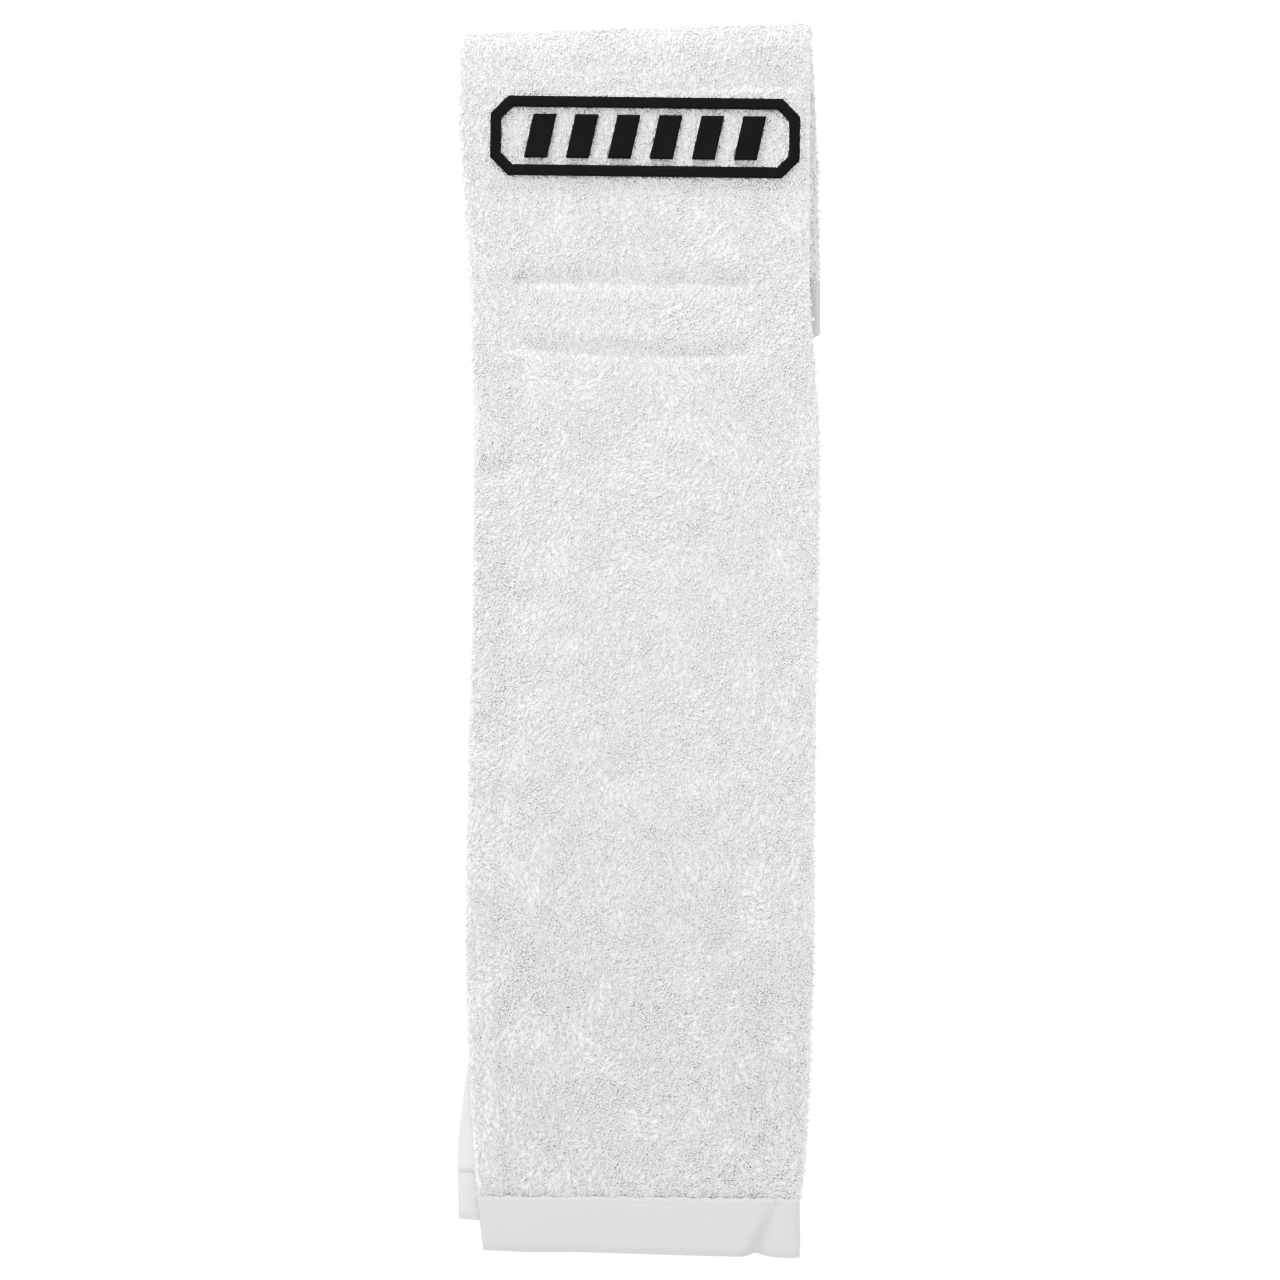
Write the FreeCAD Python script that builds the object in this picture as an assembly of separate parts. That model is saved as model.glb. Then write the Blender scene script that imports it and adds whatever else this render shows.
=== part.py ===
import FreeCAD, Part
import os
from FreeCAD import Vector
from math import radians, tan

# A terry hand towel that hangs from a belt or a bag strap. It is one long sheet, folded in half
# lengthwise with the fold on the right, and its top is turned over to the rear as a flap that
# closes with hook-and-loop tape. X runs across the towel, Y to the rear, Z up.
# The origin is the middle of the fold at the top of the belt loop.

# Driving dimensions, in millimetres
leaf = 3.5                # one thickness of terry, pile included
belt_gap = 5.0            # room for the belt between the front stack and the flap
play = 0.3                # clearance between cloth that moves apart
fold_right = 69.5         # right-hand fold of the front stack, down to the page's top
fold_low_right = 63.5     # the same fold at the foot of the terry
flap_fold_right = 70.5    # right-hand fold of the flap, which shows past the front stack
top_left = -70.0          # free left edge at the top
waist_left = -66.0        # free left edge below the tape
waist_z = -75.0           # height at which the left edge has drawn in
foot_left = -64.5         # front leaf's free edge at the foot of the terry
hem_foot = (-61.4, 62.5)  # ends of the front hem's lower edge
skew_z = -395.0           # below this height the rear leaf's free edge swings out to the left
skew_left = -71.5         # rear leaf's free edge at its lower end
front_bottom = -448.0     # where the front leaf's terry meets its hem
rear_bottom = -438.0      # where the rear leaf's terry meets its hem, at its free left edge
rear_slope = 11.0         # how much lower that line is at the right-hand fold
rear_hem_depth = 20.0
page_top = -126.0         # the rear leaf opens like a page below this height
flap_bottom = -111.0      # lower end of the flap
flap_low_left = -65.5     # free left edge of the flap at its lower end
flap_hem_inset = 2.0      # the flap's end hem stops short of its fold
end_hem_depth = 22.0      # flat-woven hem at both short ends
end_hem_thick = 2.2       # the hem is thinner than the terry
side_hem_width = 13.0     # turned edge along the long sides
tape_length = 90.0        # both tapes, across the towel
tape_centre_x = -3.5
loop_tape_width = 38.0
loop_tape_thick = 2.5
hook_tape_width = 20.0
hook_tape_thick = 2.2
thread = 0.6              # width of a sewn thread line
thread_rise = 0.35        # how far a thread line stands out of the cloth
thread_inset = 1.5        # a thread line stays this far inside the edge it runs beside
hem_thread_drop = 2.0     # a hem's stitches lie this far below its upper edge
tape_box_inset = 2.0      # the box stitch lies this far inside the ends of a tape
loop_box_margin = 4.5     # and this far inside the loop tape's long edges
tack = (32.0, 37.0, -441.4)  # ends and height of the loose tacking stitch
badge_length = 121.0      # moulded badge, over its frame
badge_height = 31.0
badge_stroke = 4.2
badge_thick = 2.2
badge_round = 0.7         # rounding of the badge's outer edges
badge_centre = (2.0, -33.3)
badge_tilt = 0.7          # degrees, right end down
badge_corner = 7.0        # clipped corners
bar_count = 6
bar_width = 9.0
bar_height = 17.0
bar_pitch = 16.4
bar_lean = 12.0           # degrees

# Levels worked out from the driving dimensions
rear_face = -belt_gap / 2
between_leaves = rear_face - leaf
front_face = between_leaves - leaf
flap_face = belt_gap / 2
between_flap_leaves = flap_face + leaf
flap_back = between_flap_leaves + leaf
crown_axis_z = between_flap_leaves
stack_top = crown_axis_z - leaf - play
page_face = between_leaves + play
loop_tape_z = -103.5
hook_tape_z = -100.5
badge_low = badge_centre[1] - badge_height / 2 - 4
hem_inset = (leaf - end_hem_thick) / 2


def slab(outline, y_low, y_high):
    """A sheet of even thickness whose outline is a list of (x, z) points."""
    points = [Vector(x, y_low, z) for x, z in outline]
    points.append(points[0])
    face = Part.Face(Part.makePolygon(points))
    return face.extrude(Vector(0, y_high - y_low, 0))


def block(x_low, x_high, y_low, y_high, z_low, z_high):
    """A plain rectangular block between two corners."""
    corner = Vector(x_low, y_low, z_low)
    return Part.makeBox(x_high - x_low, y_high - y_low, z_high - z_low, corner)


def edge_x(edge, z):
    """Where a side edge, a list of (x, z) points from the top down, stands at height z."""
    for (x_above, z_above), (x_below, z_below) in zip(edge, edge[1:]):
        if z >= z_below:
            share = (z_above - z) / (z_above - z_below)
            return x_above + share * (x_below - x_above)
    return edge[-1][0]


def band(edge, inner, outer, z_low, z_high):
    """Outline of a strip that follows a side edge, from inner to outer beside it."""
    heights = [z_high]
    heights += [z for x, z in edge if z_low < z < z_high]
    heights.append(z_low)
    near = [(edge_x(edge, z) + inner, z) for z in heights]
    far = [(edge_x(edge, z) + outer, z) for z in reversed(heights)]
    return near + far


def panel(left, right, z_low, z_high, slope=0.0):
    """Outline of a leaf between two side edges, inside its side hem. Its lower end may slope."""
    heights = sorted({z for x, z in left + right if z_low < z < z_high} | {z_low, z_high})
    up = [(edge_x(left, z) + side_hem_width, z) for z in heights]
    down = [(edge_x(right, z), z) for z in reversed(heights)]
    down[-1] = (edge_x(right, z_low - slope), z_low - slope)
    return up + down


def fold_room(fold_top, fold_foot, y_crease, y_outer):
    """What a leaf may fill beside one straight stretch of its fold, rounded on its outer side.

    fold_top and fold_foot are the (x, z) ends of the stretch.
    """
    radius = abs(y_outer - y_crease)
    towards = 1 if y_outer > y_crease else -1
    x_top, z_top = fold_top
    x_foot, z_foot = fold_foot
    bend = radius * 0.5 ** 0.5
    far_left = -2 * flap_fold_right
    start = Vector(x_top - radius, y_outer, z_top)
    halfway = Vector(x_top - radius + bend, y_crease + towards * bend, z_top)
    finish = Vector(x_top, y_crease, z_top)
    corner = Vector(far_left, y_crease, z_top)
    outer_corner = Vector(far_left, y_outer, z_top)
    edges = [
        Part.Arc(start, halfway, finish).toShape(),
        Part.LineSegment(finish, corner).toShape(),
        Part.LineSegment(corner, outer_corner).toShape(),
        Part.LineSegment(outer_corner, start).toShape(),
    ]
    return Part.Face(Part.Wire(edges)).extrude(Vector(x_foot - x_top, 0, z_foot - z_top))


def folded_leaf(left, right, y_crease, y_outer, z_low, z_high, slope=0.0):
    """One leaf of terry, rounded where it turns into the next leaf at the right-hand fold."""
    y_low, y_high = sorted((y_crease, y_outer))
    flat = slab(panel(left, right, z_low, z_high, slope), y_low, y_high)
    stretches = [fold_room(top, foot, y_crease, y_outer) for top, foot in zip(right, right[1:])]
    room = stretches[0]
    for stretch in stretches[1:]:
        room = room.fuse(stretch)
    return flat.common(room).removeSplitter().Solids[0]


def thread_pair(outline, y_low, y_high):
    """A sewn line that shows on both faces of a piece of cloth."""
    front = slab(outline, y_low - thread_rise, y_low)
    rear = slab(outline, y_high, y_high + thread_rise)
    return Part.makeCompound([front, rear])


def stitch_box(centre_x, centre_z, width, height, y_low, y_high):
    """A sewn rectangle: one closed line of thread round the edge of a tape."""
    half_w = width / 2
    half_h = height / 2
    outer = block(centre_x - half_w, centre_x + half_w, y_low, y_high,
                  centre_z - half_h, centre_z + half_h)
    inner = block(centre_x - half_w + thread, centre_x + half_w - thread, y_low - 1, y_high + 1,
                  centre_z - half_h + thread, centre_z + half_h - thread)
    return outer.cut(inner)


def hem_thread_outline(left, right, z_top, slope=0.0):
    """A line of stitches just under the top of an end hem."""
    z_left = z_top - hem_thread_drop
    z_right = z_left - slope
    x_low = edge_x(left, z_top) + thread_inset
    x_high = edge_x(right, z_top) - 2 * thread_inset
    return [(x_low, z_left - thread), (x_high, z_right - thread), (x_high, z_right), (x_low, z_left)]


def side_thread_outline(edge, z_low, z_high):
    """A line of stitches along the inner side of a side hem."""
    inset = side_hem_width - thread_inset
    return band(edge, inset - thread, inset, z_low, z_high)


def crown_leaf(upper):
    """Half of the slab that turns over the belt: its outer leaf, or its inner one."""
    ends = (between_leaves, between_flap_leaves)
    centres = [Vector(top_left, y, crown_axis_z) for y in ends]
    width = flap_fold_right - top_left
    slab_between = block(top_left, flap_fold_right, ends[0], ends[1],
                         crown_axis_z - leaf, crown_axis_z + leaf)
    rolls = [Part.makeCylinder(leaf, width, centre, Vector(1, 0, 0)) for centre in centres]
    whole = slab_between.fuse(rolls).removeSplitter()
    reach = 2 * flap_back
    z_low, z_high = (crown_axis_z, reach) if upper else (-reach, crown_axis_z)
    half = block(-2 * flap_fold_right, 2 * flap_fold_right, -reach, reach, z_low, z_high)
    return whole.common(half).Solids[0]


def placed_on_badge(shape):
    """Round a badge piece, drawn about the badge's own centre, tilt it and set it on the leaf."""
    outer_edges = [edge for edge in shape.Edges if edge.BoundBox.YMax < badge_round]
    shape = shape.makeFillet(badge_round, outer_edges)
    shape.rotate(Vector(0, 0, 0), Vector(0, 1, 0), badge_tilt)
    shape.translate(Vector(badge_centre[0], front_face - badge_thick, badge_centre[1]))
    return shape


def clipped_rectangle(width, height, corner):
    """Outline of a rectangle with its corners clipped at 45 degrees."""
    half_w = width / 2
    half_h = height / 2
    return [
        (-half_w + corner, -half_h), (half_w - corner, -half_h),
        (half_w, -half_h + corner), (half_w, half_h - corner),
        (half_w - corner, half_h), (-half_w + corner, half_h),
        (-half_w, half_h - corner), (-half_w, -half_h + corner),
    ]


def badge_frame():
    """The badge's border, a clipped rectangle of even width."""
    inner_corner = badge_corner - badge_stroke * (2 - 2 ** 0.5)
    outer = slab(clipped_rectangle(badge_length, badge_height, badge_corner), 0, badge_thick)
    inner_length = badge_length - 2 * badge_stroke
    inner_height = badge_height - 2 * badge_stroke
    inner = slab(clipped_rectangle(inner_length, inner_height, inner_corner), -1, badge_thick + 1)
    return placed_on_badge(outer.cut(inner))


def badge_bars():
    """The plain slanted bars inside the badge's border."""
    shift = bar_height / 2 * tan(radians(bar_lean))
    bars = []
    for index in range(bar_count):
        middle = (index - (bar_count - 1) / 2) * bar_pitch
        low = middle - shift
        high = middle + shift
        half_w = bar_width / 2
        half_h = bar_height / 2
        outline = [(low - half_w, -half_h), (low + half_w, -half_h),
                   (high + half_w, half_h), (high - half_w, half_h)]
        bars.append(placed_on_badge(slab(outline, 0, badge_thick)))
    return Part.makeCompound(bars)


def front_leaf_pieces():
    """The front leaf, its two hems and their threads."""
    left = [(top_left, stack_top), (waist_left, waist_z), (foot_left, front_bottom)]
    right = [(fold_right, stack_top), (fold_right, page_top), (fold_low_right, front_bottom)]
    hem_front = front_face + hem_inset
    hem_back = between_leaves - hem_inset
    hem_low = front_bottom - end_hem_depth
    hem = [(foot_left, front_bottom), (hem_foot[0], hem_low), (hem_foot[1], hem_low),
           (fold_low_right, front_bottom)]
    side = slab(band(left, 0, side_hem_width, front_bottom, stack_top), front_face, between_leaves)
    sewn_side = side_thread_outline(left, front_bottom + thread_inset, badge_low)
    return {
        "front_leaf": folded_leaf(left, right, between_leaves, front_face,
                                  front_bottom, stack_top),
        "front_side_hem": side,
        "front_side_thread": slab(sewn_side, front_face - thread_rise, front_face),
        "front_bottom_hem": slab(hem, hem_front, hem_back),
        "front_hem_thread": thread_pair(hem_thread_outline(left, right, front_bottom),
                                        hem_front, hem_back),
    }


def rear_upper_pieces():
    """The part of the rear leaf that the loop tape's stitching holds to the front leaf."""
    left = [(top_left, stack_top), (waist_left, waist_z), (waist_left, page_top)]
    right = [(fold_right, stack_top), (fold_right, page_top)]
    side = slab(band(left, 0, side_hem_width, page_top, stack_top), between_leaves, rear_face)
    return {
        "rear_leaf_upper": folded_leaf(left, right, between_leaves, rear_face,
                                       page_top, stack_top),
        "rear_upper_side_hem": side,
    }


def rear_lower_pieces():
    """The part of the rear leaf that opens like a page about the right-hand fold."""
    top = page_top - play
    fold_foot = (fold_low_right, rear_bottom - rear_slope)
    left = [(waist_left, top), (waist_left, skew_z), (skew_left, rear_bottom)]
    right = [(fold_right, top), fold_foot]
    hem_front = page_face + hem_inset
    hem_back = rear_face - hem_inset
    hem_left = rear_bottom - rear_hem_depth
    hem = [(skew_left, rear_bottom), (skew_left, hem_left), (hem_foot[1], hem_left - rear_slope),
           fold_foot, (skew_left + side_hem_width, rear_bottom)]
    side = slab(band(left, 0, side_hem_width, rear_bottom, top), page_face, rear_face)
    sewn_side = side_thread_outline(left, rear_bottom + thread_inset, top - thread_inset)
    return {
        "rear_leaf_lower": folded_leaf(left, right, page_face, rear_face,
                                       rear_bottom, top, rear_slope),
        "rear_lower_side_hem": side,
        "rear_lower_side_thread": slab(sewn_side, rear_face, rear_face + thread_rise),
        "rear_bottom_hem": slab(hem, hem_front, hem_back),
        "rear_hem_thread": thread_pair(hem_thread_outline(left, right, rear_bottom, rear_slope),
                                       hem_front, hem_back),
    }


def flap_pieces():
    """The two leaves of the flap behind the belt, with their hems and threads."""
    left = [(top_left, stack_top), (flap_low_left, flap_bottom)]
    right = [(flap_fold_right, stack_top), (flap_fold_right, flap_bottom)]
    terry_bottom = flap_bottom + end_hem_depth
    hem_right = flap_fold_right - flap_hem_inset
    hem = [(edge_x(left, terry_bottom), terry_bottom), (flap_low_left, flap_bottom),
           (hem_right, flap_bottom), (hem_right, terry_bottom)]
    side = band(left, 0, side_hem_width, terry_bottom, stack_top)
    sewn_side = side_thread_outline(left, terry_bottom + thread_inset, stack_top - thread_inset)
    sewn_hem = hem_thread_outline(left, right, terry_bottom)
    hem_join = flap_face + end_hem_thick
    hem_back = hem_join + end_hem_thick
    return {
        "flap_inner_leaf": folded_leaf(left, right, between_flap_leaves, flap_face,
                                       terry_bottom, stack_top),
        "flap_outer_leaf": folded_leaf(left, right, between_flap_leaves, flap_back,
                                       terry_bottom, stack_top),
        "flap_inner_side_hem": slab(side, flap_face, between_flap_leaves),
        "flap_outer_side_hem": slab(side, between_flap_leaves, flap_back),
        "flap_side_thread": slab(sewn_side, flap_back, flap_back + thread_rise),
        "flap_inner_end_hem": slab(hem, flap_face, hem_join),
        "flap_outer_end_hem": slab(hem, hem_join, hem_back),
        "flap_hem_thread": slab(sewn_hem, hem_back, hem_back + thread_rise),
    }


def closure_pieces():
    """The loop tape on the stack, the hook tape on the flap, and the stitches that hold them."""
    half = tape_length / 2
    x_low = tape_centre_x - half
    x_high = tape_centre_x + half
    loop_tape = block(x_low, x_high, rear_face, rear_face + loop_tape_thick,
                      loop_tape_z - loop_tape_width / 2, loop_tape_z + loop_tape_width / 2)
    hook_tape = block(x_low, x_high, flap_face - hook_tape_thick, flap_face,
                      hook_tape_z - hook_tape_width / 2, hook_tape_z + hook_tape_width / 2)
    box_length = tape_length - 2 * tape_box_inset
    loop_box = stitch_box(tape_centre_x, loop_tape_z, box_length, loop_tape_width - 2 * loop_box_margin,
                          front_face - thread_rise, front_face)
    hem_back = flap_face + 2 * end_hem_thick
    hook_box = stitch_box(tape_centre_x, hook_tape_z, box_length, hook_tape_width - 2 * tape_box_inset,
                          hem_back, hem_back + thread_rise)
    return {
        "loop_tape": loop_tape,
        "loop_tape_stitch": loop_box,
        "hook_tape": hook_tape,
        "hook_tape_stitch": hook_box,
    }


def small_pieces():
    """The crown over the belt, the badge and one loose tacking stitch."""
    tack_left, tack_right, tack_z = tack
    loose_stitch = block(tack_left, tack_right, front_face - thread_rise, front_face,
                         tack_z - thread / 2, tack_z + thread / 2)
    return {
        "crown_outer_leaf": crown_leaf(True),
        "crown_inner_leaf": crown_leaf(False),
        "badge_frame": badge_frame(),
        "badge_bars": badge_bars(),
        "tack_stitch": loose_stitch,
    }


def main():
    os.makedirs("parts", exist_ok=True)
    pieces = {}
    for group in (front_leaf_pieces, rear_upper_pieces, rear_lower_pieces, flap_pieces,
                  closure_pieces, small_pieces):
        pieces.update(group())
    for node, shape in pieces.items():
        shape.exportStep("parts/%s.step" % node)
        print(node, "valid" if shape.isValid() else "NOT VALID", round(shape.Volume / 1000, 2), "cm3")


main()
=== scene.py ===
"""Belt-loop sports towel: a strip of white terry folded lengthwise, whose top turns over a belt and closes
behind with hook-and-loop tape. Cloth, pile, hems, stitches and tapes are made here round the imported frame.

Every leaf of cloth lies at a distance n from the middle plane between the front stack and the flap, and
at a height s along its own path. Below the belt s is simply the height, and above it the path turns over
the belt, up to the top of the turn. All lengths are in metres."""
import math

import bpy
import numpy as np
from bpy.props import FloatProperty, FloatVectorProperty, PointerProperty
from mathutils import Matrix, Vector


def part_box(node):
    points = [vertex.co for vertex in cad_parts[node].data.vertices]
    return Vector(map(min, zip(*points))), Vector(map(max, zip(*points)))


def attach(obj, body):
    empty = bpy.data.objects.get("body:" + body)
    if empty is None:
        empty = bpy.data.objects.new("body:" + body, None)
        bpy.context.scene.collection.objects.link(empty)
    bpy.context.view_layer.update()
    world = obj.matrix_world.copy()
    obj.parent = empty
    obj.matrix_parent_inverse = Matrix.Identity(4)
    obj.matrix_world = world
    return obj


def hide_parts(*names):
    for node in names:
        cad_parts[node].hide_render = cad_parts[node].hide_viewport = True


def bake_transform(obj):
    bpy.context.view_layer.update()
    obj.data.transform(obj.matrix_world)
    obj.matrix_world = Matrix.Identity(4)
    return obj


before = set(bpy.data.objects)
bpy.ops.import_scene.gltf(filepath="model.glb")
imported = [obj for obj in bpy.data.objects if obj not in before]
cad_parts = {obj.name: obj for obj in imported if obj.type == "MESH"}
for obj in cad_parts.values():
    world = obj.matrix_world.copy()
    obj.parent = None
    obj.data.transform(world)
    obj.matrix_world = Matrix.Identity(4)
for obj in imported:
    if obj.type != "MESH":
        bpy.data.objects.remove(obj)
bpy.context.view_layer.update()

bl_info = {
    "name": "Belt-Loop Sports Towel",
    "version": (1, 0, 0),
    "blender": (4, 5, 0),
    "location": "View3D > Sidebar > Towel",
    "description": "Sews a folded terry towel with its pile, hems, tapes and badge round its frame",
    "category": "Object",
}

MM = 0.001

# Levels and heights, all from the frame.
CREASE_N = -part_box("front_leaf")[1].y            # where the front and the rear leaf meet
PILE_FACE_N = -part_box("front_leaf")[0].y         # the outer face of the pile
GAP_N = -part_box("rear_leaf_upper")[1].y          # the face towards the belt
FRONT_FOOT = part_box("front_leaf")[0].z
REAR_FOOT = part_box("rear_leaf_lower")[0].z
PAGE_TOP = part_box("rear_leaf_lower")[1].z
FLAP_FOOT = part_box("flap_outer_leaf")[0].z
TOP_OF_TURN = CREASE_N * math.pi / 2             # s at the top of the turn over the belt

GROUND_FROM_CREASE = 1.3 * MM
OUTER_N = CREASE_N + GROUND_FROM_CREASE
INNER_N = CREASE_N - GROUND_FROM_CREASE

# Side edges of the leaves, as (height, distance to the right) in millimetres, from the foot to the top.
FRONT_LEFT = ((-448, -63.4), (-420, -65.4), (-371, -67.4), (-293, -67.0), (-215, -65.0), (-140, -64.6),
              (-78, -66.8), (-50, -69.0), (-19, -70.4), (10, -69.6))
FRONT_RIGHT = ((-448, 62.4), (-443, 63.5), (-432, 64.3), (-371, 67.0), (-293, 68.0), (-215, 69.0),
               (-140, 69.2), (-105, 66.6), (-60, 66.2), (10, 66.4))
REAR_LEFT = ((-460, -71.2), (-438, -70.9), (-380, -65.6), (-254, -63.6), (-170, -63.6), (-78, -66.0),
             (-50, -68.0), (10, -69.2))
FLAP_LEFT = ((-111, -66.0), (-89, -66.6), (-50, -68.6), (-19, -69.6), (10, -69.2))
FLAP_RIGHT = ((-111, 70.4), (-89, 70.4), (-50, 69.8), (-15, 68.6), (10, 66.6))

# The box stitch, as corners in millimetres from top left clockwise, and how far its foot line sags.
BOX_CORNERS = ((-45.6, -89.0), (40.5, -90.3), (38.0, -117.4), (-47.2, -115.2))
BOX_SAG = 1.6 * MM

# Sewn valleys: their widths above or right of the line and below or left of it, and their depth.
LONG_VALLEY = (4.5 * MM, 6.5 * MM, 2.4 * MM)
LEFT_VALLEY = (1.6 * MM, 4.5 * MM, 2.4 * MM)
RIGHT_VALLEY = (3.0 * MM, 2.5 * MM, 1.0 * MM)
FLAP_VALLEY = (5 * MM, 4 * MM, 1.4 * MM)
SIDE_HEM_VALLEY = (2.5 * MM, 2.5 * MM, 0.8 * MM)
DEEPEST = 2.1 * MM

# A dent beside the side hem: its place, its half width and half height, and its depth.
DENT_X, DENT_S, DENT_HALF, DENT_RISE, DENT_DEPTH = -55 * MM, -163 * MM, 10 * MM, 5.5 * MM, 1.7 * MM

TURN_FADE = 12 * MM                              # relief dies away over this height below the turn
SIDE_SEAM_IN = 1.5 * MM                          # from the side hem's raw edge to its seam
BUCKLE_X = 54 * MM                               # where the front hem's buckle starts, at its top
FLOOR_REACH, FLOOR_GREY = 0.62, 0.62

# Heights that part the pile into pieces.
FRONT_BANDS = (-1.0, -0.378, -0.306, -0.234, -0.162, -0.09, -0.02, 1.0)
REAR_BANDS = (-1.0, -0.36, -0.285, -0.205, 1.0)
REAR_UPPER_SPLIT, FLAP_SPLIT = -0.03, -0.045

# Shares of the weaves' colours: the front leaf's ground, the other leaves' ground, and the rear hem.
# The other leaves' lower share is painted shade, and the rear hem's higher share is painted light.
FRONT_SHARE, OTHER_SHADE_SHARE, REAR_HEM_LIGHT_SHARE = 0.92, 0.72, 1.2

# The soft lights as name, size and place, what they face, and the display curve's inner points.
KEY = ("key", 0.45, (-0.33, -0.62, 0.85))
FILL = ("fill", 0.9, (-0.1, -1.35, 0.2))
REAR = ("rear", 0.9, (0.3, 1.2, 0.5))
LIT_PLACE = (0, 0, -0.16)
BRIGHT_SKY = (-0.35, -0.2, 0.85)
TONE = ((0.05, 0.06), (0.4, 0.64), (0.62, 0.805), (0.8, 0.915))

HEM_COLUMNS, TURN_COLUMNS, MAIN_COLUMNS, ROLL_COLUMNS = 6, 7, 64, 8
FIRST_PILE_COLUMN = HEM_COLUMNS + TURN_COLUMNS // 2


# ---------------------------------------------------------------- settings

def length(label, description, default):
    return FloatProperty(name=label, description=description, default=default, unit="LENGTH",
                         subtype="DISTANCE")


def colour(label, description, red, green, blue):
    return FloatVectorProperty(name=label, description=description, default=(red, green, blue, 1), size=4,
                               subtype="COLOR")


class ClothSettings(bpy.types.PropertyGroup):
    thickness: length("Ground thickness", "Thickness of the woven ground without pile", 0.6 * MM)
    turned_in: length("Side hem", "Width turned under along a free side", 12 * MM)
    top_rise: length("Top rise", "How far the turn over the belt stands up from it", 3.0 * MM)
    top_slope: FloatProperty(name="Top slope", description="Rise of the top edge to the right, in each metre",
                             default=0.031)
    white: colour("Cotton", "Colour of the cotton in full light", 0.965, 0.965, 0.96)
    # The deep colour is painted shade, mixed in at the loops' feet, on the side hem and towards the leaf's
    # foot.
    deep: colour("Cotton deep down", "Colour of the cotton at the foot of the pile", 0.74, 0.74, 0.735)
    ground: colour("Ground", "Colour of the woven ground under the pile", 0.94, 0.94, 0.935)
    flat: colour("Flat weave", "Colour of the flat-woven hems", 0.53, 0.53, 0.526)


class PileSettings(bpy.types.PropertyGroup):
    yarn: length("Yarn", "Thickness of the pile yarn", 0.74 * MM)
    loop_width: length("Loop width", "Distance between the two feet of a loop", 1.1 * MM)
    loop_length: length("Loop length", "Height of a loop when it stands straight", 2.0 * MM)
    pitch: length("Pitch", "Distance between loops along a row", 1.1 * MM)
    row_pitch: length("Row pitch", "Distance between rows of loops", 1.2 * MM)
    hidden_pitch: length("Pitch inside", "Distance between loops inside the belt loop", 1.9 * MM)
    rear_pitch: length("Pitch behind", "Distance between loops behind the front stack", 1.5 * MM)
    lean: FloatProperty(name="Lean", description="How far a loop leans over on average",
                        default=math.radians(50), subtype="ANGLE")


class TrimSettings(bpy.types.PropertyGroup):
    rubber: colour("Badge", "Colour of the moulded badge", 0.0015, 0.0015, 0.0017)
    tape: colour("Tape", "Colour of the hook and the loop tape", 0.8, 0.8, 0.79)
    thread: colour("Thread colour", "Colour of the sewing thread", 0.64, 0.64, 0.635)
    tack: colour("Tack", "Colour of the loose tacking stitch", 0.24, 0.24, 0.24)
    thread_width: length("Thread", "Thickness of the sewing thread", 0.4 * MM)
    stitch: length("Stitch", "Length of one stitch and its gap", 2.8 * MM)


class StageSettings(bpy.types.PropertyGroup):
    floor_height: length("Floor", "Height of the floor", -0.6)
    sky: FloatProperty(name="Sky", description="Strength of the even light from all round", default=0.81)
    sky_slope: FloatProperty(name="Sky slope", description="How much stronger the sky is at the upper left",
                             default=0.45)
    key_power: FloatProperty(name="Key light", description="Power of the soft light above on the left",
                             default=5, unit="POWER")
    fill_power: FloatProperty(name="Fill light", description="Power of the broad light in front",
                              default=1.5, unit="POWER")
    camera_distance: length("Camera distance", "From the badge side of the towel", 1.3903)
    camera_height: length("Camera height", "Height of the camera", -0.2299)
    lens: FloatProperty(name="Lens", description="Focal length in millimetres", default=100)


def settings(name):
    return getattr(bpy.context.scene, "towel_" + name)


# ---------------------------------------------------------------- shader helpers

class Value:
    """A number socket that Python expressions can work on."""

    def __init__(self, shader, socket):
        self.shader, self.socket = shader, socket

    def math(self, operation, first, second):
        made = self.shader.node("ShaderNodeMath", {"operation": operation}, {0: first, 1: second})
        return Value(self.shader, made.outputs[0])

    def __add__(self, other):
        return self.math("ADD", self, other)

    def __rsub__(self, other):
        return self.math("SUBTRACT", other, self)

    def __mul__(self, other):
        return self.math("MULTIPLY", self, other)


class Shader:
    """A material's or the world's node tree, and the one method that adds a node to it."""

    def __init__(self, tree):
        self.tree = tree
        tree.nodes.clear()

    def node(self, kind, node_settings=None, sockets=None):
        made = self.tree.nodes.new(kind)
        for name, value in (node_settings or {}).items():
            setattr(made, name, value)
        for name, value in (sockets or {}).items():
            socket = made.inputs[name]
            if isinstance(value, Value):
                value = value.socket
            if isinstance(value, bpy.types.NodeSocket):
                self.tree.links.new(value, socket)
            else:
                socket.default_value = value
        return made

    def value(self, kind, node_settings=None, sockets=None, output=0):
        return Value(self, self.node(kind, node_settings, sockets).outputs[output])

    def place(self):
        return self.node("ShaderNodeTexCoord").outputs["Object"]

    def noise(self, scale, detail, stretch=(1, 1, 1)):
        across = self.node("ShaderNodeMapping", {}, {"Vector": self.place(), "Scale": stretch})
        return self.value("ShaderNodeTexNoise", {},
                          {"Vector": across.outputs[0], "Scale": scale, "Detail": detail})

    def wave(self, direction, pitch, distortion=0.0):
        """Ribs that run across the direction, 0 to 1, one for each pitch."""
        waves_in_a_metre = 3.1831                # at a scale of 1
        turns = 1 / pitch / waves_in_a_metre
        return self.value("ShaderNodeTexWave", {"bands_direction": direction},
                          {"Vector": self.place(), "Scale": turns, "Distortion": distortion}, output=1)

    def mix(self, factor, first, second):
        made = self.node("ShaderNodeMix", {"data_type": "RGBA"}, {0: factor, 6: first, 7: second})
        return made.outputs[2]

    def bump(self, height, depth):
        return self.node("ShaderNodeBump", {}, {"Height": height, "Distance": depth}).outputs[0]


def shaded(paint, share):
    """A share of a colour."""
    return [share * part for part in paint[:3]] + [1]


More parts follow.
